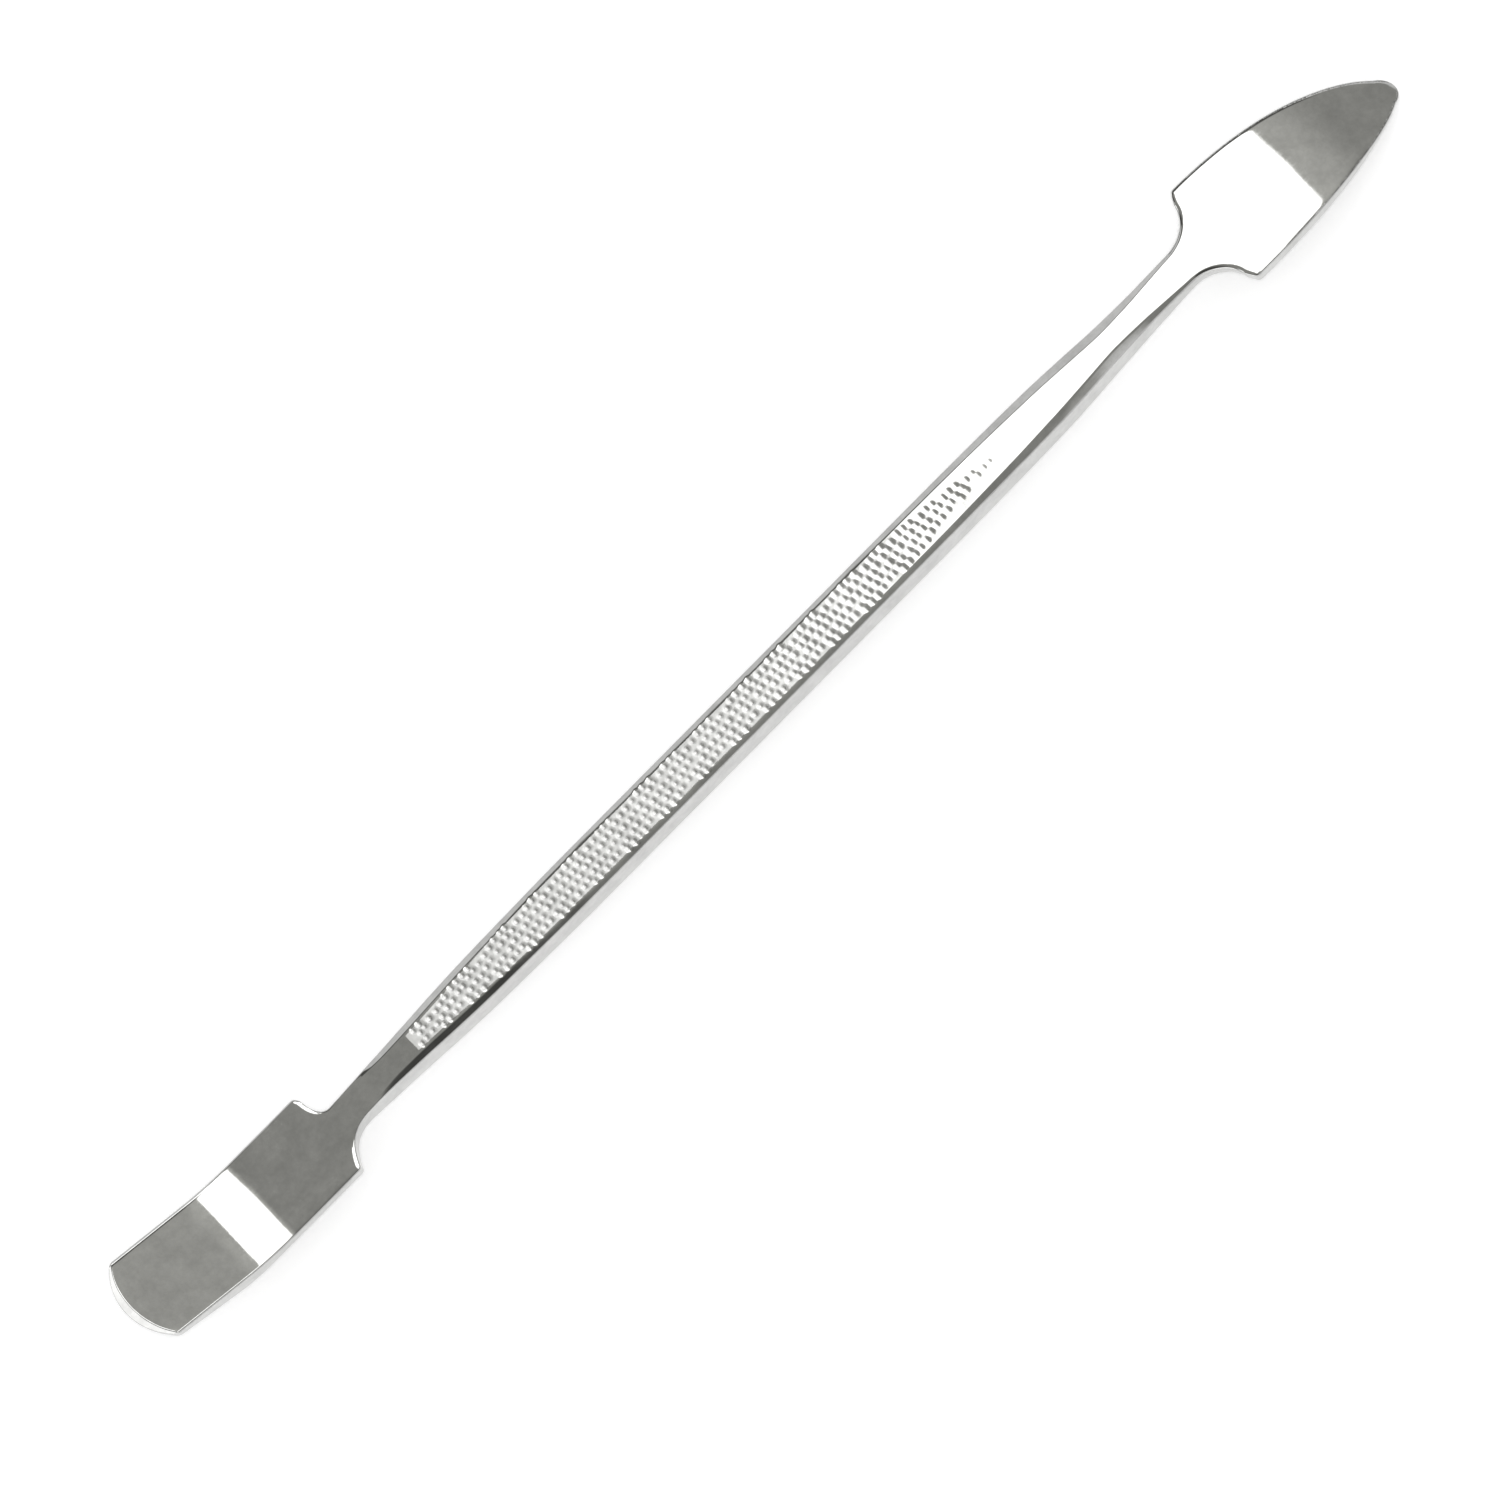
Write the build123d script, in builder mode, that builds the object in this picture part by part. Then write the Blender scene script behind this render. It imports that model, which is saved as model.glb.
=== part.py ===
from build123d import *
import math
import os

# Double-ended metal spudger, forged in one piece from round steel bar and polished.
#
# X runs along the tool towards the pointed blade, Y across it, and Z up out of its broad
# face. The grip lies level. The tool is centred on X and Y, and its lowest point, the
# underside of the nose, is at Z = 0. The five solids are the forged stretches of the one
# bar. They meet face to face on planes across it.

# ---- Driving dimensions, in millimetres and degrees ----
overall_length = 180.0
half_length = overall_length / 2
bar_edge_break = 0.2
spatula_edge_radius = 0.15
point_edge_radius = 0.1

# Levels of the grip
grip_top = 7.0
grip_thickness = 3.7
grip_bottom = grip_top - grip_thickness

# Planes across the bar where its stretches meet
spatula_root = -58.0
grip_start = -49.5
grip_end = 50.5
point_root = 61.0

# Spatula blade, seen from the side
spatula_root_top = 6.5
spatula_root_bottom = 3.85
spatula_top = 5.92
spatula_bottom = 4.45
spatula_flat_start = -65.0
spatula_bend_start = -71.8
spatula_bend_radius = 19.5
spatula_rise_angle = 20.5
spatula_end_thickness = 0.95
spatula_underside_angle = 27.0
spatula_underside_radius = 10.0
end_bevel_width = 0.85
end_bevel_depth = 0.6

# Spatula blade, seen from above
spatula_neck_half_width = 1.78
spatula_shoulder_half_width = 5.3
spatula_end_half_width = 5.3
spatula_shoulder = -62.7
spatula_corner = -87.7
corner_radius = 0.5

# Point blade, seen from the side
point_root_bottom = 5.1
point_flat_end = 58.0
point_drop = 6.75

# Point blade, seen from above
point_neck_half_width = 2.05
point_half_width = 6.6
point_shoulder = 66.0
nose_offset = -0.35
leaf_power = 2.2
leaf_fullness = 0.6

# Sections of the bar: X, half width, top, bottom, bevel width, bevel depth
spatula_root_section = (
    spatula_root,
    spatula_neck_half_width,
    spatula_root_top,
    spatula_root_bottom,
    bar_edge_break,
    bar_edge_break,
)
grip_start_section = (grip_start, 2.12, grip_top, 3.35, 0.82, 0.25)
grip_end_section = (grip_end, 2.14, grip_top, 3.45, 1.0, 0.35)
point_root_section = (
    point_root,
    point_neck_half_width,
    grip_top,
    point_root_bottom,
    bar_edge_break,
    bar_edge_break,
)
grip_sections = (
    grip_start_section,
    (-45.5, 2.38, grip_top, grip_bottom, 0.8, 0.24),
    (-41.0, 2.56, grip_top, grip_bottom, 0.8, 0.22),
    (-34.0, 2.68, grip_top, grip_bottom, 0.75, 0.18),
    (-26.0, 2.76, grip_top, grip_bottom, 0.75, 0.18),
    (26.0, 2.76, grip_top, grip_bottom, 0.75, 0.18),
    (36.0, 2.72, grip_top, grip_bottom, 0.85, 0.25),
    (41.0, 2.64, grip_top, grip_bottom, 0.95, 0.3),
    (46.0, 2.4, grip_top, grip_bottom, 1.0, 0.35),
    grip_end_section,
)
spatula_neck_sections = (
    spatula_root_section,
    (-54.0, 1.9, 6.88, 3.5, 0.45, 0.2),
    grip_start_section,
)
point_neck_sections = (
    grip_end_section,
    (56.0, 1.99, grip_top, 4.1, 0.55, 0.25),
    point_root_section,
)


def bar_section(x, half_width, top, bottom, bevel_width, bevel_depth):
    """A section across the bar: a rectangle with its four corners bevelled."""
    flat = half_width - bevel_width
    with BuildSketch(Plane.YZ.offset(x)) as section:
        with BuildLine():
            Polyline(
                (flat, top),
                (half_width, top - bevel_depth),
                (half_width, bottom + bevel_depth),
                (flat, bottom),
                (-flat, bottom),
                (-half_width, bottom + bevel_depth),
                (-half_width, top - bevel_depth),
                (-flat, top),
                close=True,
            )
        make_face()
    return section.sketch


def leaf_edge(side):
    """Points along one edge of the leaf-shaped blade, from its shoulder to its nose."""
    length = half_length - point_shoulder
    points = []
    for part in (0.0, 0.2, 0.4, 0.6, 0.75, 0.87, 0.95):
        half_width = point_half_width * (1 - part**leaf_power) ** leaf_fullness
        points.append((point_shoulder + part * length, side * half_width + nose_offset * part**6))
    return points


def rim(edges):
    """The edges that run around a blade, leaving out upright ones and those straight across it."""
    return edges.filter_by(lambda edge: abs((edge @ 0).X - (edge @ 1).X) > 0.001)


os.makedirs("parts", exist_ok=True)

# ---- Spatula blade: flat at its shoulders, then curving up to a bevelled, rounded end ----
with BuildPart() as spatula_blade:
    with BuildSketch(Plane.XZ.offset(spatula_shoulder_half_width)):
        with BuildLine():
            root_top = (spatula_root, spatula_root_top)
            root_bottom = (spatula_root, spatula_root_bottom)
            flat_top = (spatula_flat_start, spatula_top)
            flat_bottom = (spatula_flat_start, spatula_bottom)
            bend_start = (spatula_bend_start, spatula_top)
            Bezier(root_top, (-60.0, 6.2), (-62.0, spatula_top), flat_top)
            Line(flat_top, bend_start)
            bend = JernArc(bend_start, (-1, 0), spatula_bend_radius, -spatula_rise_angle)
            rise = (half_length + (bend @ 1).X) * math.tan(math.radians(spatula_rise_angle))
            end_top = (-half_length, (bend @ 1).Y + rise)
            end_bottom = (-half_length, end_top[1] - spatula_end_thickness)
            underside_run = (end_bottom[1] - spatula_bottom) / math.tan(
                math.radians(spatula_underside_angle)
            )
            underside_corner = (underside_run - half_length, spatula_bottom)
            Line(bend @ 1, end_top)
            Line(end_top, end_bottom)
            FilletPolyline(
                end_bottom, underside_corner, flat_bottom, radius=spatula_underside_radius
            )
            Bezier(flat_bottom, (-62.0, spatula_bottom), (-60.0, 4.1), root_bottom)
            Line(root_bottom, root_top)
        make_face()
    extrude(amount=-2 * spatula_shoulder_half_width)
    with BuildSketch(Plane.XY) as spatula_outline:
        with BuildLine():
            far_root = (spatula_root, spatula_neck_half_width)
            near_root = (spatula_root, -spatula_neck_half_width)
            far_corner = (spatula_corner, spatula_end_half_width)
            near_corner = (spatula_corner, -spatula_end_half_width)
            far_shoulder = (spatula_shoulder, spatula_shoulder_half_width)
            near_shoulder = (spatula_shoulder, -spatula_shoulder_half_width)
            far_fillet_start = (-60.6, spatula_neck_half_width)
            far_fillet_end = (-62.3, 4.6)
            near_fillet_end = (-62.4, -4.6)
            Line(far_root, far_fillet_start)
            Bezier(far_fillet_start, (-61.7, spatula_neck_half_width), (-62.2, 3.0), far_fillet_end)
            Polyline(far_fillet_end, far_shoulder, far_corner)
            ThreePointArc(far_corner, (-half_length, 0), near_corner)
            Polyline(near_corner, near_shoulder, near_fillet_end)
            Bezier(near_fillet_end, (-61.6, -3.0), (-60.6, -spatula_neck_half_width), near_root)
            Line(near_root, far_root)
        make_face()
        corners = spatula_outline.vertices().filter_by(
            lambda vertex: abs(vertex.Y) >= spatula_end_half_width
        )
        fillet(corners, radius=corner_radius)
    extrude(amount=2 * grip_top, mode=Mode.INTERSECT)
    with BuildSketch(Plane.XZ):
        with BuildLine():
            bevel_foot = Vector(-half_length, end_top[1] - end_bevel_depth)
            bevel_head = Vector(
                end_bevel_width - half_length,
                end_top[1] - end_bevel_width * math.tan(math.radians(spatula_rise_angle)),
            )
            bevel_slope = bevel_head - bevel_foot
            bevel_low = bevel_foot - bevel_slope
            bevel_high = bevel_head + bevel_slope
            Polyline(
                (bevel_low.X, bevel_low.Y),
                (bevel_high.X, bevel_high.Y),
                (bevel_high.X, 2 * grip_top),
                (bevel_low.X, 2 * grip_top),
                close=True,
            )
        make_face()
    sagitta = half_length + spatula_corner
    end_radius = (spatula_end_half_width**2 + sagitta**2) / (2 * sagitta)
    revolve(axis=Axis((end_radius - half_length, 0, 0), (0, 0, 1)), mode=Mode.SUBTRACT)
    fillet(rim(spatula_blade.edges()), radius=spatula_edge_radius)
    spatula_blade.part.label = "spatula_blade"
export_step(spatula_blade.part, "parts/spatula_blade.step")

# ---- Spatula neck ----
with BuildPart() as spatula_neck:
    loft(sections=[bar_section(*section) for section in spatula_neck_sections])
    spatula_neck.part.label = "spatula_neck"
export_step(spatula_neck.part, "parts/spatula_neck.step")

# ---- Grip bar ----
with BuildPart() as grip_bar:
    loft(sections=[bar_section(*section) for section in grip_sections], ruled=True)
    grip_bar.part.label = "grip_bar"
export_step(grip_bar.part, "parts/grip_bar.step")

# ---- Point neck ----
with BuildPart() as point_neck:
    loft(sections=[bar_section(*section) for section in point_neck_sections])
    point_neck.part.label = "point_neck"
export_step(point_neck.part, "parts/point_neck.step")

# ---- Point blade: leaf-shaped, flat at its shoulders and curving down to a blunt nose ----
with BuildPart() as point_blade:
    with BuildSketch(Plane.XZ.offset(point_half_width)):
        with BuildLine():
            span = half_length - point_flat_end
            nose_top = grip_top - point_drop
            Bezier(
                (point_flat_end, grip_top),
                (point_flat_end + span / 3, grip_top),
                (point_flat_end + 2 * span / 3, grip_top),
                (half_length, nose_top),
            )
            Line((half_length, nose_top), (half_length, 0))
            Spline(
                (half_length, 0),
                (84.2, 2.5),
                (76.3, 4.15),
                (70.0, 4.95),
                (point_root, point_root_bottom),
            )
            Polyline(
                (point_root, point_root_bottom),
                (point_flat_end, point_root_bottom),
                (point_flat_end, grip_top),
            )
        make_face()
    extrude(amount=-2 * point_half_width)
    with BuildSketch(Plane.XY):
        with BuildLine():
            far_root = (point_root, point_neck_half_width)
            near_root = (point_root, -point_neck_half_width)
            far_leaf = Spline(*leaf_edge(1))
            near_leaf = Spline(*leaf_edge(-1))
            far_fillet_end = (65.35, 5.4)
            near_fillet_end = (65.35, -5.4)
            Bezier(far_root, (63.2, point_neck_half_width), (65.0, 3.6), far_fillet_end)
            Line(far_fillet_end, far_leaf @ 0)
            ThreePointArc(far_leaf @ 1, (half_length, nose_offset), near_leaf @ 1)
            Bezier(near_root, (63.2, -point_neck_half_width), (65.0, -3.6), near_fillet_end)
            Line(near_fillet_end, near_leaf @ 0)
            Line(near_root, far_root)
        make_face()
    extrude(amount=2 * grip_top, mode=Mode.INTERSECT)
    fillet(rim(point_blade.edges()), radius=point_edge_radius)
    point_blade.part.label = "point_blade"
export_step(point_blade.part, "parts/point_blade.step")
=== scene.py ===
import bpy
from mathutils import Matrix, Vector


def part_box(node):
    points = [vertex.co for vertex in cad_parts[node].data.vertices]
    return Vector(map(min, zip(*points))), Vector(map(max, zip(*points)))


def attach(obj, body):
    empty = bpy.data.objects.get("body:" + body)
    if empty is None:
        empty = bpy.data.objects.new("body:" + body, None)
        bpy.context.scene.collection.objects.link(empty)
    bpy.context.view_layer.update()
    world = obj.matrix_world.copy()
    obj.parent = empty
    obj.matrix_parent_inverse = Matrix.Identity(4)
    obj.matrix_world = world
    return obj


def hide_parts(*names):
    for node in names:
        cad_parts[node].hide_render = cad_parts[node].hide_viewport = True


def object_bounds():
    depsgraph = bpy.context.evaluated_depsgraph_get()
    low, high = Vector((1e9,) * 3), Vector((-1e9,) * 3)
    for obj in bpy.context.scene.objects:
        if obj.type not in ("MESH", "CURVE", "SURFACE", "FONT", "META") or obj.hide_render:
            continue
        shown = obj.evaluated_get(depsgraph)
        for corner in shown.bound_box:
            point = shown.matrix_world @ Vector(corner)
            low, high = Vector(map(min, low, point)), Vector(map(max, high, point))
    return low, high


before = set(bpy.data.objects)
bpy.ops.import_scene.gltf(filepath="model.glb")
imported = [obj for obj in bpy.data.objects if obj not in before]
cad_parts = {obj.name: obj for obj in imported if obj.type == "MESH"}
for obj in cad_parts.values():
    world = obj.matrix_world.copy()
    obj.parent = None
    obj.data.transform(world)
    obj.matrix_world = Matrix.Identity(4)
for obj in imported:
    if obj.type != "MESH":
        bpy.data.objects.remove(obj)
cad_box = [list(corner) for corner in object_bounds()]

import math

import bpy
import numpy as np
from mathutils import Matrix, Vector
from mathutils.kdtree import KDTree

# A double-ended spudger forged from one polished steel bar. X runs along it to the point,
# Y across it, Z up out of its broad face. The shape is worked out in millimetres, as one
# skin over the whole bar, and then cut into closed pieces at the CAD nodes' planes.

MM = 0.001


def node_box(node):
    """Lowest and highest corners of a CAD node, in millimetres."""
    low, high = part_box(node)
    return Vector(low) / MM, Vector(high) / MM


spatula_high = node_box("spatula_blade")[1]
grip_low, grip_high = node_box("grip_bar")
point_low, point_high = node_box("point_blade")

HALF_LENGTH = point_high.x
SPATULA_ROOT = spatula_high.x
GRIP_START = grip_low.x
GRIP_END = grip_high.x
POINT_ROOT = point_low.x
GRIP_TOP = grip_high.z
GRIP_BOTTOM = grip_low.z
GRIP_HALF_WIDTH = grip_high.y
SPATULA_HALF_WIDTH = spatula_high.y
POINT_HALF_WIDTH = point_high.y


# ---------------------------------------------------------------- curves


def through(*points):
    """A smooth function through the points that never overshoots them."""
    x, y = np.array(points, float).T
    run = np.diff(x)
    slope = np.diff(y) / run
    before = 2 * run[1:] + run[:-1]
    after = run[1:] + 2 * run[:-1]
    product = slope[:-1] * slope[1:]
    spread = before * slope[1:] + after * slope[:-1]
    tangent = np.zeros(len(x))
    tangent[0] = slope[0]
    tangent[-1] = slope[-1]
    turning = np.zeros(len(product))
    np.divide((before + after) * product, spread, out=turning, where=product > 0)
    tangent[1:-1] = turning

    def value(at):
        at = np.clip(at, x[0], x[-1])
        i = np.clip(np.searchsorted(x, at) - 1, 0, len(run) - 1)
        t = (at - x[i]) / run[i]
        return (
            y[i] * (1 + 2 * t) * (1 - t) ** 2
            + tangent[i] * run[i] * t * (1 - t) ** 2
            + y[i + 1] * t * t * (3 - 2 * t)
            + tangent[i + 1] * run[i] * t * t * (t - 1)
        )

    return value


def bezier(*points, steps=120):
    """Points along the Bezier curve with these control points."""
    t = np.linspace(0, 1, steps)[:, None]
    layers = [np.repeat(np.array([point], float), steps, axis=0) for point in points]
    while len(layers) > 1:
        layers = [a + (b - a) * t for a, b in zip(layers, layers[1:])]
    return layers[0]


def rounded(before, corner, after, size):
    """A corner between two straight runs, rounded over this length of each."""
    before, corner, after = (np.array(point, float) for point in (before, corner, after))
    into = (before - corner) / np.linalg.norm(before - corner)
    out = (after - corner) / np.linalg.norm(after - corner)
    return bezier(corner + into * size, corner, corner + out * size, steps=60)


def softplus(value, softness):
    """The larger of value and 0, with the corner rounded over about this softness."""
    return softness * np.logaddexp(0, value / softness)


def smoothstep(low, high, value):
    t = np.clip((value - low) / (high - low), 0, 1)
    return t * t * (3 - 2 * t)


# ---------------------------------------------------------------- outline, seen from above

END_CORNER_X = -87.7
END_HALF_WIDTH = 5.3
END_SAGITTA = HALF_LENGTH + END_CORNER_X
END_RADIUS = (END_HALF_WIDTH**2 + END_SAGITTA**2) / (2 * END_SAGITTA)
END_CENTRE_X = END_RADIUS - HALF_LENGTH
SHOULDER_X = -62.7
CORNER_SIZE = 0.4
END_ARC_ANGLE = math.asin(END_HALF_WIDTH / END_RADIUS) - CORNER_SIZE / END_RADIUS
END_ARC_X = END_CENTRE_X - END_RADIUS * math.cos(END_ARC_ANGLE)

LEAF_START = 66.0
LEAF_LENGTH = HALF_LENGTH - LEAF_START
LEAF_POWER = 2.2
LEAF_FULLNESS = 0.6
NOSE_START = 0.95
NOSE_OFFSET = -0.35

# Each point is X and the distance out from the bar's middle line.
FAR_FILLET = [(-62.3, 4.6), (-62.2, 3.0), (-61.7, 1.78), (-60.6, 1.78)]
NEAR_FILLET = [(-62.4, 4.6), (-61.6, 3.0), (-60.6, 1.78), (-58.2, 1.78)]
LEAF_FILLET = [(POINT_ROOT, 2.05), (63.2, 2.05), (65.0, 3.6), (65.35, 5.4)]

bar_half_width = through(
    (-61.0, 1.78), (SPATULA_ROOT, 1.78), (-54.0, 1.9), (GRIP_START, 2.12), (-45.5, 2.36),
    (-41.0, 2.54), (-34.0, 2.67), (-26.0, GRIP_HALF_WIDTH), (26.0, GRIP_HALF_WIDTH),
    (36.0, 2.71), (41.0, 2.63), (46.0, 2.4), (GRIP_END, 2.14), (56.0, 1.99), (POINT_ROOT, 2.05),
)


def leaf_half_width(part):
    """Half width of the leaf-shaped blade, from its shoulders at 0 to its nose at 1."""
    blade = POINT_HALF_WIDTH * (1 - np.minimum(part, NOSE_START) ** LEAF_POWER) ** LEAF_FULLNESS
    chord = POINT_HALF_WIDTH * (1 - NOSE_START**LEAF_POWER) ** LEAF_FULLNESS
    sagitta = LEAF_LENGTH * (1 - NOSE_START)
    radius = (chord**2 + sagitta**2) / (2 * sagitta)
    left = np.clip(LEAF_LENGTH * (1 - part), 0, None)
    nose = np.sqrt(np.clip(2 * radius * left - left**2, 0, None))
    return np.where(part < NOSE_START, blade, nose)


def outline(side, fillet):
    """One long edge from the spatula's end to the nose, as X and Y. Side is +1 or -1."""
    angle = END_ARC_ANGLE * np.linspace(0, 1, 400)
    end_arc = np.column_stack(
        [END_CENTRE_X - END_RADIUS * np.cos(angle), END_RADIUS * np.sin(angle)]
    )
    end_corner = (END_CORNER_X, END_HALF_WIDTH)
    shoulder = (SHOULDER_X, SPATULA_HALF_WIDTH)
    bar_x = np.linspace(fillet[-1][0], POINT_ROOT, 800)
    leaf_corner = (LEAF_START, POINT_HALF_WIDTH)
    leaf_next = (LEAF_START + 1, float(leaf_half_width(np.array(1 / LEAF_LENGTH))))
    part = 1 - np.linspace(0.97, 0, 600) ** 2
    leaf = np.column_stack([LEAF_START + part * LEAF_LENGTH, leaf_half_width(part)])
    points = np.concatenate(
        [
            end_arc,
            rounded(end_arc[-1], end_corner, shoulder, CORNER_SIZE),
            rounded(end_corner, shoulder, fillet[0], CORNER_SIZE),
            bezier(*fillet),
            np.column_stack([bar_x, bar_half_width(bar_x)]),
            bezier(*LEAF_FILLET),
            rounded(LEAF_FILLET[-1], leaf_corner, leaf_next, CORNER_SIZE),
            leaf,
        ]
    )
    reached = np.maximum.accumulate(points[:, 0])
    points = points[np.concatenate([[True], np.diff(reached) > 1e-7])]
    skew = np.clip((points[:, 0] - LEAF_START) / LEAF_LENGTH, 0, 1) ** 6
    points[:, 1] = side * points[:, 1] + NOSE_OFFSET * skew
    return points


far_edge = outline(1, FAR_FILLET)
near_edge = outline(-1, NEAR_FILLET)


# ---------------------------------------------------------------- profile, seen from the side

BEND_X = -71.8
BEND_RADIUS = 19.5
RISE = math.radians(20.5)
UNDER_RISE = math.radians(27)
UNDER_RADIUS = 10.0
SPATULA_TOP = 5.92
SPATULA_BOTTOM = 4.45
END_THICKNESS = 0.95
BEND_REACH = BEND_RADIUS * math.sin(RISE)
BEND_LIFT = BEND_RADIUS * (1 - math.cos(RISE))
END_TOP = SPATULA_TOP + BEND_LIFT + (HALF_LENGTH + BEND_X - BEND_REACH) * math.tan(RISE)
UNDER_CORNER_X = (END_TOP - END_THICKNESS - SPATULA_BOTTOM) / math.tan(UNDER_RISE) - HALF_LENGTH
UNDER_START_X = UNDER_CORNER_X + UNDER_RADIUS * math.tan(UNDER_RISE / 2)
POINT_DROP_START = 58.0
NOSE_TOP = 0.25
NOSE_BOTTOM = 0.03
TOP_FLAT_X = -65.0
UNDER_FLAT_X = -66.0

neck_top = through(
    (TOP_FLAT_X, SPATULA_TOP), (-62.0, 6.03), (-60.0, 6.22), (SPATULA_ROOT, 6.5), (-54.0, 6.88),
    (GRIP_START, GRIP_TOP), (-45.0, GRIP_TOP),
)
bar_bottom = through(
    (UNDER_FLAT_X, SPATULA_BOTTOM), (-64.0, 4.42), (-61.0, 4.22), (SPATULA_ROOT, 3.85), (-54.0, 3.5),
    (GRIP_START, 3.35), (-45.5, GRIP_BOTTOM), (46.0, GRIP_BOTTOM), (GRIP_END, 3.45),
    (56.0, 4.1), (POINT_ROOT, 5.05), (65.0, 5.18), (70.0, 4.95), (76.3, 4.15), (80.5, 3.34),
    (84.2, 2.5), (87.2, 1.4), (HALF_LENGTH, NOSE_BOTTOM),
)


def bend(start, radius, angle, x):
    """Height gained by a flat that bends up towards -X from start, then runs on straight."""
    gone = start - x
    reach = radius * math.sin(angle)
    arc = radius - np.sqrt(radius**2 - np.clip(gone, 0, reach) ** 2)
    return arc + np.clip(gone - reach, 0, None) * math.tan(angle)


def top_height(x):
    """Z of the broad top face, before its edges, dimples and waviness."""
    spatula = SPATULA_TOP + bend(BEND_X, BEND_RADIUS, RISE, x)
    part = np.clip((x - POINT_DROP_START) / (HALF_LENGTH - POINT_DROP_START), 0, 1)
    return np.where(x < TOP_FLAT_X, spatula, neck_top(x) - (GRIP_TOP - NOSE_TOP) * part**3)


def bottom_height(x):
    """Z of the broad underside, before its edges, dimples and waviness."""
    spatula = SPATULA_BOTTOM + bend(UNDER_START_X, UNDER_RADIUS, UNDER_RISE, x)
    return np.where(x < UNDER_FLAT_X, spatula, bar_bottom(x))


# ---------------------------------------------------------------- edges, bevels and dimples

bevel_width = through(
    (-62.0, 0.5), (-56.0, 0.5), (-53.0, 0.7), (-46.0, 0.8), (-30.0, 0.75), (20.0, 0.75),
    (34.0, 0.85), (41.0, 0.98), (50.0, 1.05), (54.0, 0.85), (58.0, 0.6), (62.0, 0.42), (68.0, 0.4),
)
bevel_depth = through(
    (-60.0, 0.0), (-57.0, 0.04), (-53.5, 0.18), (-46.0, 0.24), (-30.0, 0.19), (20.0, 0.19),
    (34.0, 0.25), (41.0, 0.32), (50.0, 0.38), (54.0, 0.3), (58.0, 0.19), (62.0, 0.12), (67.0, 0.0),
)
bevel_softness = through((-50.0, 0.05), (-30.0, 0.1), (15.0, 0.1), (40.0, 0.04), (55.0, 0.04))
edge_radius = through(
    (-90.0, 0.1), (-62.0, 0.12), (-50.0, 0.1), (50.0, 0.1), (62.0, 0.12), (76.0, 0.12),
    (84.0, 0.1), (90.0, 0.08),
)

THIN_RIM_SHARE = 0.3
BLADE_ROLL = 0.09
BLADE_ROLL_WIDTH = 0.6
SPATULA_ROLL_X = (-57.0, -63.0)
POINT_ROLL_X = (60.0, 66.0)
END_BEVEL_WIDTH = 0.85
END_BEVEL_TAPER = 0.8
END_BEVEL_FALL = 0.7
END_BEVEL_SOFTNESS = 0.012

PIT_RADIUS = 0.44
PIT_DEPTH = 0.055
PIT_ALONG = (0.9, 0.18)
PIT_ACROSS = (0.28, -0.93)
PIT_SHIFT = 0.1
PIT_SCALE = (0.82, 1.08)
PIT_FIRST_X = -49.6
PIT_LAST_X = 33.5
PIT_MARGIN = 0.34
PIT_PULL = 0.4
DULL_START_X = -49.9
DULL_FADE_X = -12.0
DULL_END_X = 38.0
DULL_EDGE_ALONG = 0.2
DULL_EDGE_ACROSS = 0.12
PITS_ALONG = 240
PITS_ACROSS = 80
TOP_SEED = 4
UNDER_SEED = 9

texture_half_width = through(
    (-50.0, 1.1), (-45.0, 1.35), (-40.0, 1.7), (-34.0, 1.95), (-20.0, 2.05), (16.0, 2.05),
    (25.0, 1.5), (33.0, 0.4),
)
texture_strength = through((-50.1, 1.0), (0.0, 0.95), (12.0, 0.75), (24.0, 0.5), (33.0, 0.12))


def dimples(x, y, seed):
    """The staggered dimples pressed into the grip.

    The first result is their depth below a broad face, and the second says how dull the
    steel is left round them, from 1 at the spatula's end of the grip to 0 outside.
    """
    random = np.random.RandomState(seed)
    shift = random.uniform(-PIT_SHIFT, PIT_SHIFT, (PITS_ALONG, PITS_ACROSS, 2))
    scale = random.uniform(PIT_SCALE[0], PIT_SCALE[1], (PITS_ALONG, PITS_ACROSS))
    step = np.array([PIT_ALONG, PIT_ACROSS]).T
    cell = np.floor(np.einsum("ij,j...->i...", np.linalg.inv(step), np.array([x, y])))
    depth = np.zeros_like(x)
    for next_along in (-1, 0, 1, 2):
        for next_across in (-1, 0, 1, 2):
            i = cell[0].astype(int) + next_along
            j = cell[1].astype(int) + next_across
            own = (i % PITS_ALONG, j % PITS_ACROSS)
            centre_x = step[0, 0] * i + step[0, 1] * j + shift[own][..., 0]
            centre_y = step[1, 0] * i + step[1, 1] * j + shift[own][..., 1]
            limit = np.maximum(texture_half_width(centre_x) - PIT_MARGIN, 0.1)
            size = scale[own] * (np.abs(centre_y) < limit + PIT_PULL)
            size = size * (centre_x > PIT_FIRST_X) * (centre_x < PIT_LAST_X)
            centre_y = np.clip(centre_y, -limit, limit)
            reach = np.hypot(x - centre_x, y - centre_y) / (PIT_RADIUS * np.maximum(size, 0.01))
            pit = np.clip(1 - reach**2, 0, None)
            depth = np.maximum(depth, pit * size * texture_strength(centre_x))
    room = texture_half_width(x) - np.abs(y)
    dull = smoothstep(0.0, DULL_EDGE_ACROSS, room)
    dull = dull * smoothstep(DULL_START_X - DULL_EDGE_ALONG, DULL_START_X, x)
    return depth * PIT_DEPTH, dull * smoothstep(DULL_END_X, DULL_FADE_X, x)


RIPPLES = [
    # wave's length, direction in radians, phase, height
    (13.0, 1.2, 2.2, 0.005),
    (9.0, 0.4, 0.3, 0.0045),
    (6.1, 1.9, 1.7, 0.003),
    (4.3, 2.7, 4.1, 0.0016),
]
RIPPLE_MARGIN = 0.6
UNDER_RIPPLE_SHIFT = 31.0


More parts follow.
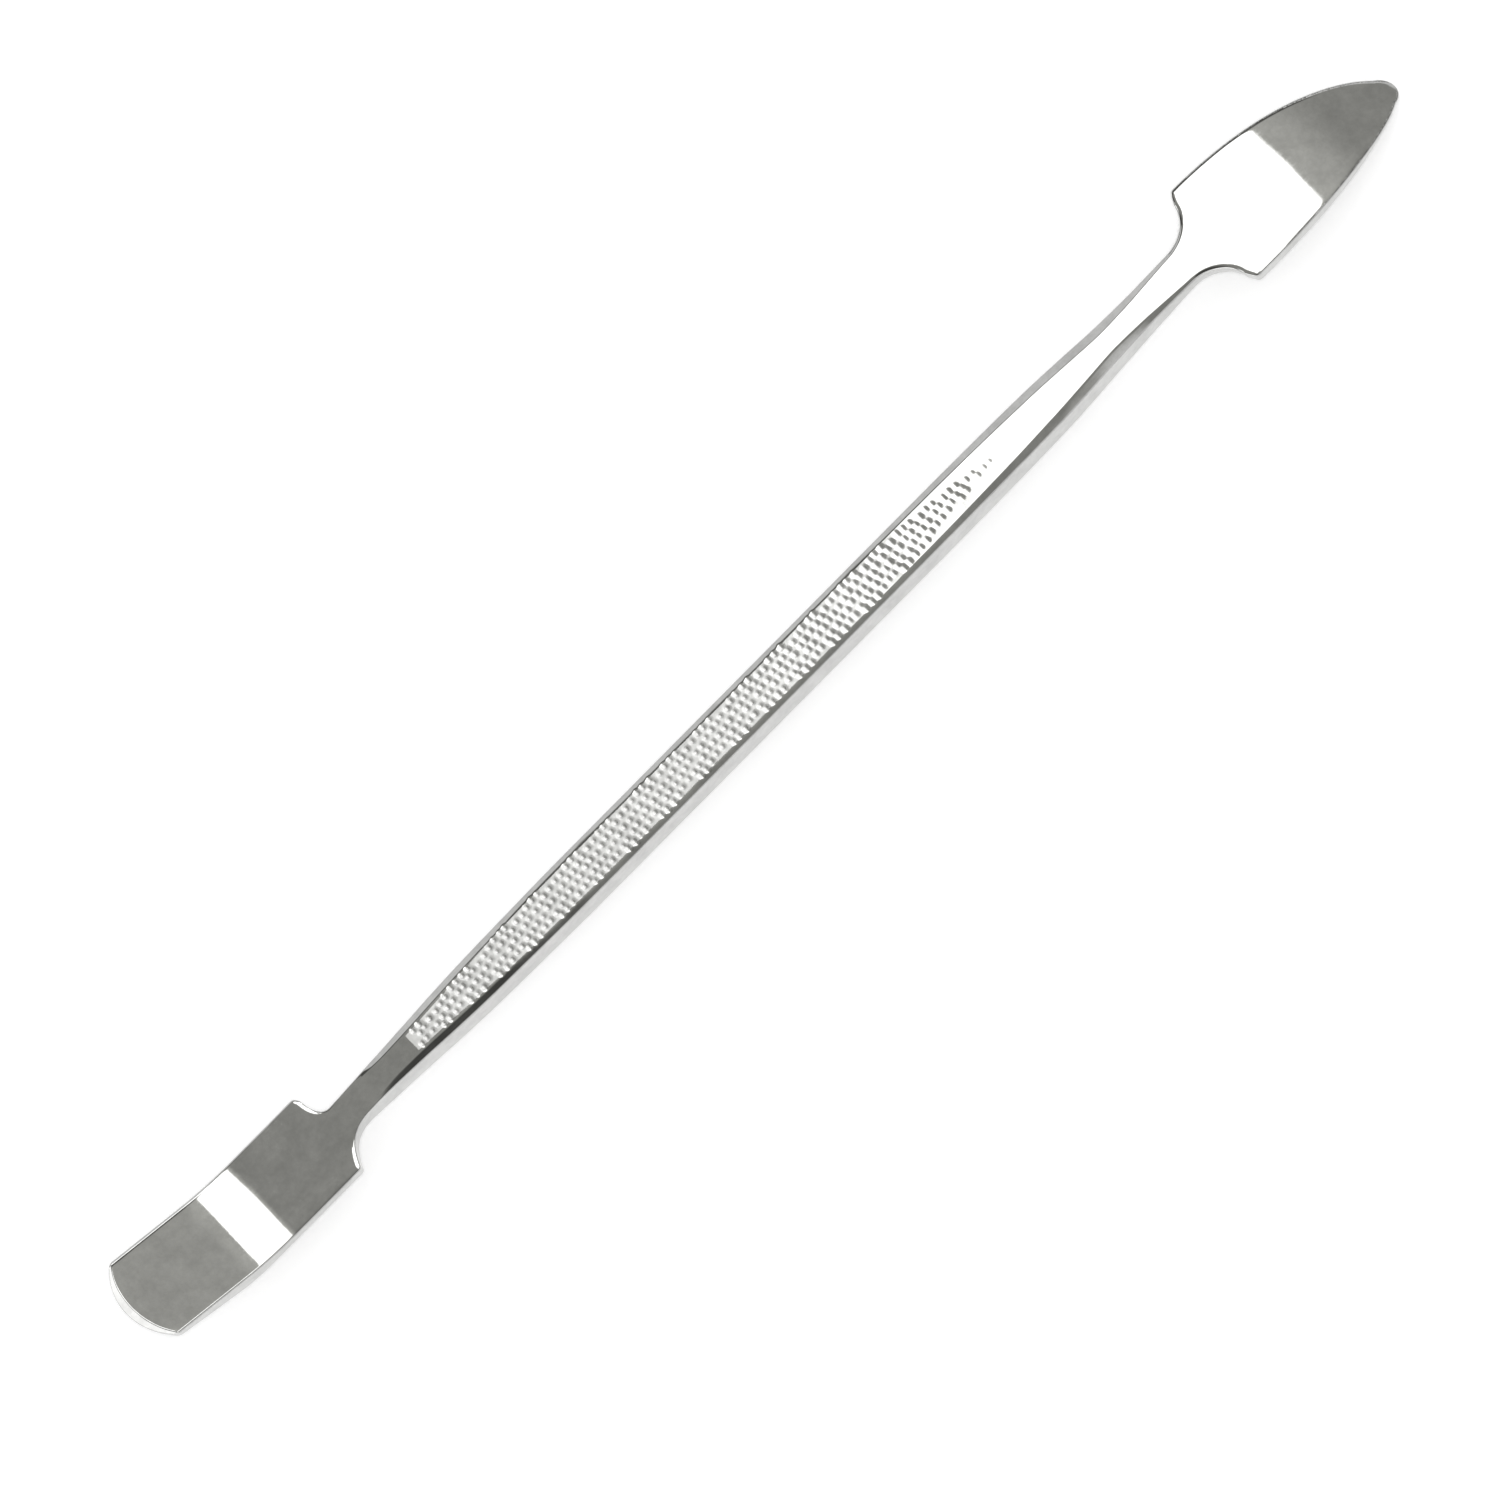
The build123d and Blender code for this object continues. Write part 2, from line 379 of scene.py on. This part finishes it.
def ripple(x, y):
    """The gentle waviness that hand polishing leaves on a broad face."""
    height = np.zeros_like(x)
    for length, direction, phase, size in RIPPLES:
        along = x * math.cos(direction) + y * math.sin(direction)
        height = height + size * np.sin(2 * math.pi * along / length + phase)
    return height


# ---------------------------------------------------------------- the skin

EDGE_REACH = (0.0, 0.03, 0.08, 0.15)
BEVEL_REACH = (-0.25, -0.1, 0.0, 0.1, 0.25)
MIDDLE_COUNT = 30
WALL_COUNT = 3
BOW_LENGTH = 9.0
MOST_STRETCH = 1.6
MOST_REACH_SHARE = 0.42
RIM_STEP = 0.012
RING_STEP = 0.2
DIMPLED_STEP = 0.11
END_STEP = 0.05
NOSE_STEP = 0.06
SIDE_STEP = 0.1
NOSE_GAP = 0.004
END_FINE_LENGTH = 1.2
NOSE_FINE_LENGTH = 2.0
TRIAL_STATIONS = 60001


def even_rim():
    """The whole outline as evenly spaced points."""
    line = np.concatenate([far_edge[::-1], near_edge])
    travel = np.concatenate([[0], np.cumsum(np.linalg.norm(np.diff(line, axis=0), axis=1))])
    even = np.arange(0, travel[-1], RIM_STEP)
    return np.column_stack([np.interp(even, travel, line[:, k]) for k in (0, 1)])


def search_tree(points):
    """A tree that finds the nearest of these points."""
    tree = KDTree(len(points))
    for number, (x, y) in enumerate(points):
        tree.insert((x, y, 0), number)
    tree.balance()
    return tree


rim = even_rim()
rim_tree = search_tree(rim)


def inset(x, y):
    """Distance from each point to the outline, measured square to it."""
    points = np.column_stack([x.ravel(), y.ravel()])
    nearest = np.array([rim_tree.find((px, py, 0))[1] for px, py in points])
    best = np.full(len(points), np.inf)
    for offset in (-1, 0):
        first = np.clip(nearest + offset, 0, len(rim) - 2)
        run = rim[first + 1] - rim[first]
        t = ((points - rim[first]) * run).sum(1) / (run * run).sum(1)
        foot = rim[first] + run * np.clip(t, 0, 1)[:, None]
        best = np.minimum(best, np.linalg.norm(points - foot, axis=1))
    return best.reshape(x.shape)


def stations():
    """X positions of the skin's rings, closer together wherever the outline turns."""
    x = np.linspace(END_ARC_X, HALF_LENGTH - NOSE_GAP, TRIAL_STATIONS)
    far = np.interp(x, far_edge[:, 0], far_edge[:, 1])
    near = np.interp(x, near_edge[:, 0], near_edge[:, 1])
    dimpled = (x > GRIP_START - 1) & (x < PIT_LAST_X + 1)
    spacing = np.where(dimpled, DIMPLED_STEP, RING_STEP)
    spacing = np.where(x < END_CORNER_X + END_FINE_LENGTH, END_STEP, spacing)
    spacing = np.where(x > HALF_LENGTH - NOSE_FINE_LENGTH, NOSE_STEP, spacing)
    density = np.diff(x) / spacing[1:]
    density = density + np.abs(np.diff(far)) / SIDE_STEP + np.abs(np.diff(near)) / SIDE_STEP
    total = np.concatenate([[0], np.cumsum(density)])
    wanted = np.linspace(0, total[-1], int(total[-1]) + 1)
    rings = np.interp(wanted, total, x)
    for plane in (SPATULA_ROOT, GRIP_START, GRIP_END, POINT_ROOT):
        rings[np.argmin(np.abs(rings - plane))] = plane
    return rings


def across(side_x):
    """Y positions across every ring, from the far edge to the near one, densest near both."""
    far = np.interp(side_x, far_edge[:, 0], far_edge[:, 1])
    near = np.interp(side_x, near_edge[:, 0], near_edge[:, 1])
    width = bevel_width(side_x)[:, None]
    reach = np.concatenate(
        [np.tile(EDGE_REACH, (len(side_x), 1)), width * 0.5, width + np.array(BEVEL_REACH)], axis=1
    )
    room = np.minimum(MOST_STRETCH, MOST_REACH_SHARE * (far - near)[:, None] / reach[:, -1:])
    far_reach = reach * np.minimum(np.hypot(1, np.gradient(far, side_x))[:, None], room)
    near_reach = reach * np.minimum(np.hypot(1, np.gradient(near, side_x))[:, None], room)
    far_y = far[:, None] - far_reach
    near_y = near[:, None] + near_reach
    part = np.linspace(0, 1, MIDDLE_COUNT + 2)[1:-1]
    middle_y = far_y[:, -1:] + (near_y[:, -1:] - far_y[:, -1:]) * part
    return np.concatenate([far_y, middle_y, near_y[:, ::-1]], axis=1)


def edge_drop(x, distance, thickness):
    """How far a broad face has fallen away at this distance in from the outline."""
    width = bevel_width(x)
    bevel = bevel_depth(x) / width * softplus(width - distance, bevel_softness(x))
    radius = np.minimum(edge_radius(x), THIN_RIM_SHARE * thickness)
    rounding = radius - np.sqrt(radius**2 - np.clip(radius - distance, 0, radius) ** 2)
    on_blade = smoothstep(*SPATULA_ROLL_X, x) + smoothstep(*POINT_ROLL_X, x)
    roll = BLADE_ROLL * on_blade * np.clip(1 - distance / BLADE_ROLL_WIDTH, 0, 1) ** 2
    return bevel + rounding + roll * np.clip(thickness, 0, 1)


def end_bevel(x, y):
    """Depth of the crescent ground off the top of the spatula's end."""
    width = END_BEVEL_WIDTH * (1 - END_BEVEL_TAPER * (y / END_HALF_WIDTH) ** 2)
    distance = END_RADIUS - np.hypot(x - END_CENTRE_X, y)
    on_end = x < END_CENTRE_X - 2
    return END_BEVEL_FALL * softplus(width - distance, END_BEVEL_SOFTNESS) * on_end


def broad_face():
    """X and Y of the points across a broad face, in rows bowed to match the round end."""
    side_x = stations()
    y = across(side_x)
    edge_x = np.repeat(side_x[:, None], y.shape[1], axis=1)
    sweep = END_RADIUS - np.sqrt(END_RADIUS**2 - np.clip(y, -END_HALF_WIDTH, END_HALF_WIDTH) ** 2)
    fade = np.clip(1 - (edge_x - END_ARC_X) / BOW_LENGTH, 0, 1) ** 2
    bow = (sweep[:, :1] - sweep) * (y > 0) + (sweep[:, -1:] - sweep) * (y <= 0)
    return edge_x - bow * fade, y


def go_round(top, near_wall, bottom, far_wall):
    """Values in order round each ring: top, near wall, underside and far wall."""
    return np.concatenate([top, near_wall, bottom[:, ::-1], far_wall], axis=1)


def make_skin():
    """Rings of points round the bar, their dimple depth and dullness, and the count on top."""
    x, y = broad_face()
    distance = inset(x, y)
    distance[:, 0] = 0
    distance[:, -1] = 0
    crescent = end_bevel(x, y)
    drop = edge_drop(x, distance, top_height(x) - bottom_height(x) - crescent)
    calm = smoothstep(0.0, RIPPLE_MARGIN, distance)
    top_pits, top_dull = dimples(x, y, TOP_SEED)
    under_pits, under_dull = dimples(x, y, UNDER_SEED)
    top = top_height(x) - drop - crescent + ripple(x, y) * calm - top_pits
    bottom = bottom_height(x) + drop - ripple(x + UNDER_RIPPLE_SHIFT, y) * calm + under_pits
    part = np.linspace(0, 1, WALL_COUNT + 2)[1:-1]
    near_wall = top[:, -1:] + (bottom[:, -1:] - top[:, -1:]) * part
    far_wall = bottom[:, :1] + (top[:, :1] - bottom[:, :1]) * part
    wall = np.ones((1, WALL_COUNT))
    ring_x = go_round(x, x[:, -1:] * wall, x, x[:, :1] * wall)
    ring_y = go_round(y, y[:, -1:] * wall, y, y[:, :1] * wall)
    ring_z = go_round(top, near_wall, bottom, far_wall)
    smooth_wall = 0 * near_wall
    pits = go_round(top_pits, smooth_wall, under_pits, smooth_wall)
    dull = go_round(top_dull, smooth_wall, under_dull, smooth_wall)
    return np.stack([ring_x, ring_y, ring_z], axis=-1), pits / PIT_DEPTH, dull, y.shape[1]


def skin_normals(skin):
    """A normal at each point, weighted by the size of the faces round it."""
    following = np.roll(skin, -1, axis=1)
    long_way = following[1:] - skin[:-1]
    short_way = following[:-1] - skin[1:]
    face = np.cross(short_way, long_way)
    face = face + np.roll(face, 1, axis=1)
    total = np.zeros_like(skin)
    total[:-1] += face
    total[1:] += face
    return total / np.linalg.norm(total, axis=-1, keepdims=True)


skin, pits, unpolished, top_count = make_skin()
normals = skin_normals(skin)


def end_face(rings_at, around):
    """Faces that close one end of a piece. The first and the last take in the side walls."""
    faces = []
    below = 2 * top_count + WALL_COUNT - 1
    for k in range(top_count - 1):
        near_wall = range(top_count, top_count + WALL_COUNT) if k == top_count - 2 else ()
        far_wall = range(below + 1, around) if k == 0 else ()
        numbers = (k, k + 1, *near_wall, below - k - 1, below - k, *far_wall)
        faces.append([rings_at + number for number in numbers])
    return faces


def strip_faces(count, around):
    """Four-sided faces that join each ring of points to the next one."""
    row = np.arange(count - 1)[:, None] * around
    here = np.arange(around)[None, :]
    after = (here + 1) % around
    quads = np.stack([row + here, row + after, row + around + after, row + around + here], axis=-1)
    return quads.reshape(-1, 4).tolist()


def set_normals(mesh, side_count, ring_normals):
    """The whole skin's smooth normals on a piece's sides, and flat ones on its cut ends."""
    smooth = np.ones(len(mesh.polygons), dtype=bool)
    smooth[side_count:] = False
    mesh.polygons.foreach_set("use_smooth", smooth)
    mesh.update()
    corners = np.empty(len(mesh.loops), dtype=np.int32)
    mesh.loops.foreach_get("vertex_index", corners)
    corner_normals = ring_normals.reshape(-1, 3)[corners]
    side_corners = 4 * side_count
    own = np.empty(len(mesh.loops) * 3)
    mesh.corner_normals.foreach_get("vector", own)
    corner_normals[side_corners:] = own.reshape(-1, 3)[side_corners:]
    mesh.normals_split_custom_set(corner_normals.tolist())


def make_piece(name, start, end):
    """The stretch of the skin between two planes, as one closed mesh with flat cut ends."""
    x = skin[:, 0, 0]
    first = int(np.argmin(np.abs(x - start)))
    last = int(np.argmin(np.abs(x - end)))
    part = skin[first:last + 1]
    count, around = part.shape[:2]
    side_faces = strip_faces(count, around)
    start_faces = [face[::-1] for face in end_face(0, around)]
    end_faces = end_face((count - 1) * around, around)
    mesh = bpy.data.meshes.new(name)
    mesh.from_pydata((part.reshape(-1, 3) * MM).tolist(), [], side_faces + start_faces + end_faces)
    set_normals(mesh, len(side_faces), normals[first:last + 1])
    for attribute_name, values in (("pit", pits), ("unpolished", unpolished)):
        attribute = mesh.attributes.new(attribute_name, "FLOAT", "POINT")
        attribute.data.foreach_set("value", values[first:last + 1].ravel())
    piece = bpy.data.objects.new(name, mesh)
    bpy.context.scene.collection.objects.link(piece)
    return piece


# ---------------------------------------------------------------- materials

STEEL_COLOR = (0.58, 0.58, 0.57)
POLISHED_ROUGHNESS = 0.035
DIMPLED_ROUGHNESS = 0.04
# Painted shade: how much darker the steel's colour is made in the grip's dimples, standing in for
# shade in the hollows.
DIMPLED_PIT_PAINTED_SHADE = 0.78
DULL_SHADE = 1.1
DULL_ROUGHNESS = 0.3
PIT_ROUGHNESS = 0.16
CLOUD_SCALE = 330.0
CLOUD_SHADE = (0.9, 1.04)
CLOUD_ROUGHNESS = 0.03
MOTTLE_SCALE = 1500.0
MOTTLE_SHADE = (-0.05, 0.03)
LINE_SCALE = (90.0, 4200.0, 4200.0)
LINE_ROUGHNESS = 0.03
LINE_RELIEF = 0.25
MOTTLE_RELIEF = 0.75
RELIEF_STRENGTH = 0.35
RELIEF_HEIGHT = 0.000004


def feed(tree, socket, value):
    """Links another node's output to a socket, or sets the socket's own value."""
    if isinstance(value, bpy.types.NodeSocket):
        tree.links.new(value, socket)
    else:
        socket.default_value = value


def node(tree, kind, settings=None, **inputs):
    """A new shader node with its settings, and a value or a link for each named input."""
    made = tree.nodes.new("ShaderNode" + kind)
    for key, value in (settings or {}).items():
        setattr(made, key, value)
    for key, value in inputs.items():
        feed(tree, made.inputs[key.replace("_", " ")], value)
    return made


def math_node(tree, operation, first, second):
    """A Math node on two values or sockets."""
    made = tree.nodes.new("ShaderNodeMath")
    made.operation = operation
    feed(tree, made.inputs[0], first)
    feed(tree, made.inputs[1], second)
    return made.outputs[0]


def ramp(tree, value, low, high, to_low, to_high):
    """A value mapped smoothly from one range to another."""
    made = node(
        tree, "MapRange", {"interpolation_type": "SMOOTHSTEP"}, Value=value,
        From_Min=low, From_Max=high, To_Min=to_low, To_Max=to_high,
    )
    return made.outputs["Result"]


def noise(tree, place, scale, detail, roughness):
    """Noise about 0.5, at this scale per metre."""
    made = node(tree, "TexNoise", Vector=place, Scale=scale, Detail=detail, Roughness=roughness)
    return made.outputs["Fac"]


def steel_shade(tree, cloud, mottle, pit, dull, painted_pit_shade):
    """How light the steel is: cloudy, finely mottled, and darker in its dimples, where the darkening
    is painted shade in the hollows.
    """
    clouds = ramp(tree, cloud, 0.3, 0.7, *CLOUD_SHADE)
    specks = ramp(tree, mottle, 0.3, 0.7, *MOTTLE_SHADE)
    shade = math_node(tree, "ADD", clouds, specks)
    # Painted shade: the colour is darkened in the dimples' hollows.
    shade = math_node(tree, "MULTIPLY", shade, ramp(tree, pit, 0.15, 0.8, 1.0, painted_pit_shade))
    return math_node(tree, "MULTIPLY", shade, ramp(tree, dull, 0.0, 1.0, 1.0, DULL_SHADE))


def steel_roughness(tree, cloud, lines, pit, dull, roughness):
    """Rougher where it is cloudy, along the polishing lines and round the dimples."""
    clouds = ramp(tree, cloud, 0.35, 0.75, roughness, roughness + CLOUD_ROUGHNESS)
    rough = math_node(tree, "ADD", clouds, ramp(tree, lines, 0.45, 0.8, 0.0, LINE_ROUGHNESS))
    matte = ramp(tree, pit, 0.3, 0.95, DULL_ROUGHNESS, PIT_ROUGHNESS)
    return math_node(tree, "ADD", rough, math_node(tree, "MULTIPLY", dull, matte))


def steel(name, roughness, painted_pit_shade):
    """Mirror-polished steel: cloudy in places, with faint lengthwise polishing lines."""
    material = bpy.data.materials.new(name)
    material.use_nodes = True
    tree = material.node_tree
    surface = tree.nodes["Principled BSDF"]
    place = node(tree, "TexCoord").outputs["Object"]
    stretched = node(tree, "Mapping", Vector=place, Scale=LINE_SCALE).outputs["Vector"]
    cloud = noise(tree, place, CLOUD_SCALE, 5.0, 0.6)
    mottle = noise(tree, place, MOTTLE_SCALE, 3.0, 0.6)
    lines = noise(tree, stretched, 1.0, 2.0, 0.5)
    pit = node(tree, "Attribute", {"attribute_name": "pit"}).outputs["Fac"]
    dull = node(tree, "Attribute", {"attribute_name": "unpolished"}).outputs["Fac"]

    # The shade includes painted shade that darkens the dimples.
    shade = steel_shade(tree, cloud, mottle, pit, dull, painted_pit_shade)
    tint = node(tree, "VectorMath", {"operation": "SCALE"}, Vector=STEEL_COLOR, Scale=shade)
    tree.links.new(tint.outputs["Vector"], surface.inputs["Base Color"])
    surface.inputs["Metallic"].default_value = 1.0
    rough = steel_roughness(tree, cloud, lines, pit, dull, roughness)
    tree.links.new(rough, surface.inputs["Roughness"])

    line_relief = math_node(tree, "MULTIPLY", lines, LINE_RELIEF)
    mottle_relief = math_node(tree, "MULTIPLY", mottle, MOTTLE_RELIEF)
    relief = math_node(tree, "ADD", line_relief, mottle_relief)
    bump = node(tree, "Bump", Strength=RELIEF_STRENGTH, Distance=RELIEF_HEIGHT, Height=relief)
    tree.links.new(bump.outputs["Normal"], surface.inputs["Normal"])
    return material


def glow(name, light_at):
    """An emission material whose strength and colour come from its place in metres."""
    material = bpy.data.materials.new(name)
    material.use_nodes = True
    tree = material.node_tree
    tree.nodes.clear()
    place = node(tree, "TexCoord").outputs["Object"]
    split = node(tree, "SeparateXYZ", Vector=place)
    strength, color = light_at(tree, split.outputs["X"], split.outputs["Y"])
    light = node(tree, "Emission", Color=color, Strength=strength)
    output = node(tree, "OutputMaterial", Surface=light.outputs["Emission"])
    output.is_active_output = True
    return material


# ---------------------------------------------------------------- pieces

# Each section's start, end and material slot
SECTIONS = {
    "spatula_blade": (END_ARC_X, SPATULA_ROOT, "polished_steel"),
    "spatula_neck": (SPATULA_ROOT, GRIP_START, "polished_steel"),
    "grip_bar": (GRIP_START, GRIP_END, "dimpled_steel"),
    "point_neck": (GRIP_END, POINT_ROOT, "polished_steel"),
    "point_blade": (POINT_ROOT, HALF_LENGTH, "polished_steel"),
}
STEELS = {
    "polished_steel": steel("polished_steel", POLISHED_ROUGHNESS, 1.0),
    "dimpled_steel": steel("dimpled_steel", DIMPLED_ROUGHNESS, DIMPLED_PIT_PAINTED_SHADE),
}

for section, (section_start, section_end, slot_name) in SECTIONS.items():
    piece = make_piece("steel_" + section, section_start, section_end)
    piece.data.materials.append(STEELS[slot_name])
    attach(piece, "root")
    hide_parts(section)


# ---------------------------------------------------------------- studio

# In metres. The ceiling's edges are where each fade starts and ends.
CEILING_HEIGHT = 2.5
CEILING_SIZE = 32.0
PANEL_X = (0.0, 0.045, 1.25, 1.29)
PANEL_Y = (-0.02, 0.05, 1.55, 1.62)
DARK_X = (-1.3, -1.1, 13.0, 14.0)
DARK_Y = (-1.05, -0.8, 2.2, 2.4)
STRIP_Y = (1.55, 1.7)
STRIP_X = (2.4, 3.2)
SPILL_START_X = (-0.12, 0.0)
SPILL_END_X = 2.6
NEAR_Y = (-0.5, 0.3)
LEFT_FADE = 0.3
PANEL_LIGHT = 2.4
SPILL_LIGHT = 0.25
DARK_LIGHT = 0.37
NEAR_LIGHT = 0.08
STRIP_SHARE = 0.25
LEFT_LIGHT = 1.7
ROOM_LIGHT = 0.85
HORIZON_LIGHT = 0.1
HORIZON_HEIGHT = (0.1, 0.35)
WHITE = (1, 1, 1, 1)
OLIVE = (1.0, 1.0, 0.95, 1.0)
FLOOR_SIZE = 12.0
FLOOR_COLOR = (0.93, 0.93, 0.93, 1)
FLOOR_GLOW = 0.2
SOFT_LIGHT_POWER = 13.0
SOFT_LIGHT_SIZE = 0.25
SOFT_LIGHT_DISTANCE = 2.3


def plane(name, height, size, material):
    """A level square card over the origin."""
    half = size / 2
    corners = [(-half, -half, 0), (half, -half, 0), (half, half, 0), (-half, half, 0)]
    mesh = bpy.data.meshes.new(name)
    mesh.from_pydata(corners, [], [(0, 1, 2, 3)])
    mesh.materials.append(material)
    card = bpy.data.objects.new(name, mesh)
    card.location = (0, 0, height)
    bpy.context.scene.collection.objects.link(card)
    return card


def window(tree, value, edges):
    """1 between the middle two edges, fading to 0 at the outer two."""
    rising = ramp(tree, value, edges[0], edges[1], 0.0, 1.0)
    falling = ramp(tree, value, edges[2], edges[3], 1.0, 0.0)
    return math_node(tree, "MULTIPLY", rising, falling)


def mix(tree, factor, first, second):
    """The first value where the factor is 0, and the second where it is 1."""
    return node(tree, "Mix", Factor=factor, A=first, B=second).outputs["Result"]


def gloom_light(tree, x, y):
    """The dark ceiling's own light, stronger beside the panel and weaker at its far edge."""
    fading = ramp(tree, x, PANEL_X[3], SPILL_END_X, SPILL_LIGHT, 0.0)
    spill = math_node(tree, "MULTIPLY", fading, ramp(tree, x, *SPILL_START_X, 0.0, 1.0))
    gloom = math_node(tree, "ADD", ramp(tree, y, *NEAR_Y, NEAR_LIGHT, DARK_LIGHT), spill)
    far_edge_share = ramp(tree, y, *STRIP_Y, 1.0, STRIP_SHARE)
    strip = math_node(tree, "MAXIMUM", far_edge_share, ramp(tree, x, *STRIP_X, 0.0, 1.0))
    return math_node(tree, "MULTIPLY", gloom, strip)


def ceiling_light(tree, x, y):
    """An olive-grey ceiling with a white panel in it, and a light room round it."""
    panel = math_node(tree, "MULTIPLY", window(tree, x, PANEL_X), window(tree, y, PANEL_Y))
    dark = math_node(tree, "MULTIPLY", window(tree, x, DARK_X), window(tree, y, DARK_Y))
    left = ramp(tree, x, DARK_X[0] - LEFT_FADE, DARK_X[0], LEFT_LIGHT, ROOM_LIGHT)
    room = mix(tree, dark, left, gloom_light(tree, x, y))
    strength = mix(tree, panel, room, PANEL_LIGHT)
    olive_share = math_node(tree, "SUBTRACT", dark, panel)
    color = tree.nodes.new("ShaderNodeMix")
    color.data_type = "RGBA"
    share_in, white_in, olive_in = (color.inputs[k] for k in (0, 6, 7))
    tree.links.new(olive_share, share_in)
    white_in.default_value = WHITE
    olive_in.default_value = OLIVE
    return strength, color.outputs[2]


def add_ceiling():
    """A ceiling that only reflections see, and that lights nothing else."""
    material = glow("ceiling_light", ceiling_light)
    card = plane("ceiling_card", CEILING_HEIGHT, CEILING_SIZE, material)
    card.visible_camera = False
    card.visible_diffuse = False
    card.visible_shadow = False


def add_floor():
    """A plain white floor at the tool's lowest point."""
    material = bpy.data.materials.new("floor_white")
    material.use_nodes = True
    surface = material.node_tree.nodes["Principled BSDF"]
    surface.inputs["Base Color"].default_value = FLOOR_COLOR
    surface.inputs["Roughness"].default_value = 0.9
    surface.inputs["Specular IOR Level"].default_value = 0.0
    surface.inputs["Emission Color"].default_value = WHITE
    surface.inputs["Emission Strength"].default_value = FLOOR_GLOW
    plane("floor", cad_box[0][2], FLOOR_SIZE, material)


def add_world():
    """A pale room whose walls darken towards the horizon."""
    world = bpy.data.worlds.new("studio")
    world.use_nodes = True
    tree = world.node_tree
    direction = node(tree, "TexCoord").outputs["Generated"]
    height = node(tree, "SeparateXYZ", Vector=direction).outputs["Z"]
    background = tree.nodes["Background"]
    background.inputs["Color"].default_value = WHITE
    strength = ramp(tree, height, *HORIZON_HEIGHT, HORIZON_LIGHT, ROOM_LIGHT)
    tree.links.new(strength, background.inputs["Strength"])
    bpy.context.scene.world = world


def add_soft_light():
    """A soft light beside the camera, so that the tool hides its own shadow on the floor."""
    light = bpy.data.lights.new("soft_light", "AREA")
    light.shape = "DISK"
    light.size = SOFT_LIGHT_SIZE
    light.energy = SOFT_LIGHT_POWER
    lamp = bpy.data.objects.new("soft_light", light)
    lamp.location = VIEW_TOWARD * SOFT_LIGHT_DISTANCE
    lamp.rotation_euler = VIEW_TOWARD.to_track_quat("Z", "Y").to_euler()
    lamp.visible_glossy = False
    bpy.context.scene.collection.objects.link(lamp)


# ---------------------------------------------------------------- camera

VIEW_TILT = math.radians(18.5)
VIEW_TOWARD = Vector((0, -math.sin(VIEW_TILT), math.cos(VIEW_TILT)))
VIEW_TURN = math.radians(45.28)
VIEW_CENTRE = Vector((-0.00455, -0.00328, 0.0059))
VIEW_WIDTH = 0.15285
LENS = 600.0
SENSOR = 36.0


def add_camera():
    """A long lens from a little in front of overhead, turned so that the tool lies diagonally."""
    along = Vector((1, 0, 0))
    down = along.cross(VIEW_TOWARD)
    right = along * math.cos(VIEW_TURN) + down * math.sin(VIEW_TURN)
    up = along * math.sin(VIEW_TURN) - down * math.cos(VIEW_TURN)
    camera_data = bpy.data.cameras.new("camera")
    camera_data.lens = LENS
    camera_data.sensor_width = SENSOR
    camera_data.clip_start = 0.1
    camera_data.clip_end = 50
    camera = bpy.data.objects.new("camera", camera_data)
    rotation = Matrix((right, up, VIEW_TOWARD)).transposed().to_4x4()
    place = VIEW_CENTRE + VIEW_TOWARD * VIEW_WIDTH * LENS / SENSOR
    camera.matrix_world = Matrix.Translation(place) @ rotation
    bpy.context.scene.collection.objects.link(camera)
    bpy.context.scene.camera = camera


add_world()
add_ceiling()
add_floor()
add_soft_light()
add_camera()
bpy.context.scene.view_settings.view_transform = "Standard"

bpy.context.view_layer.update()
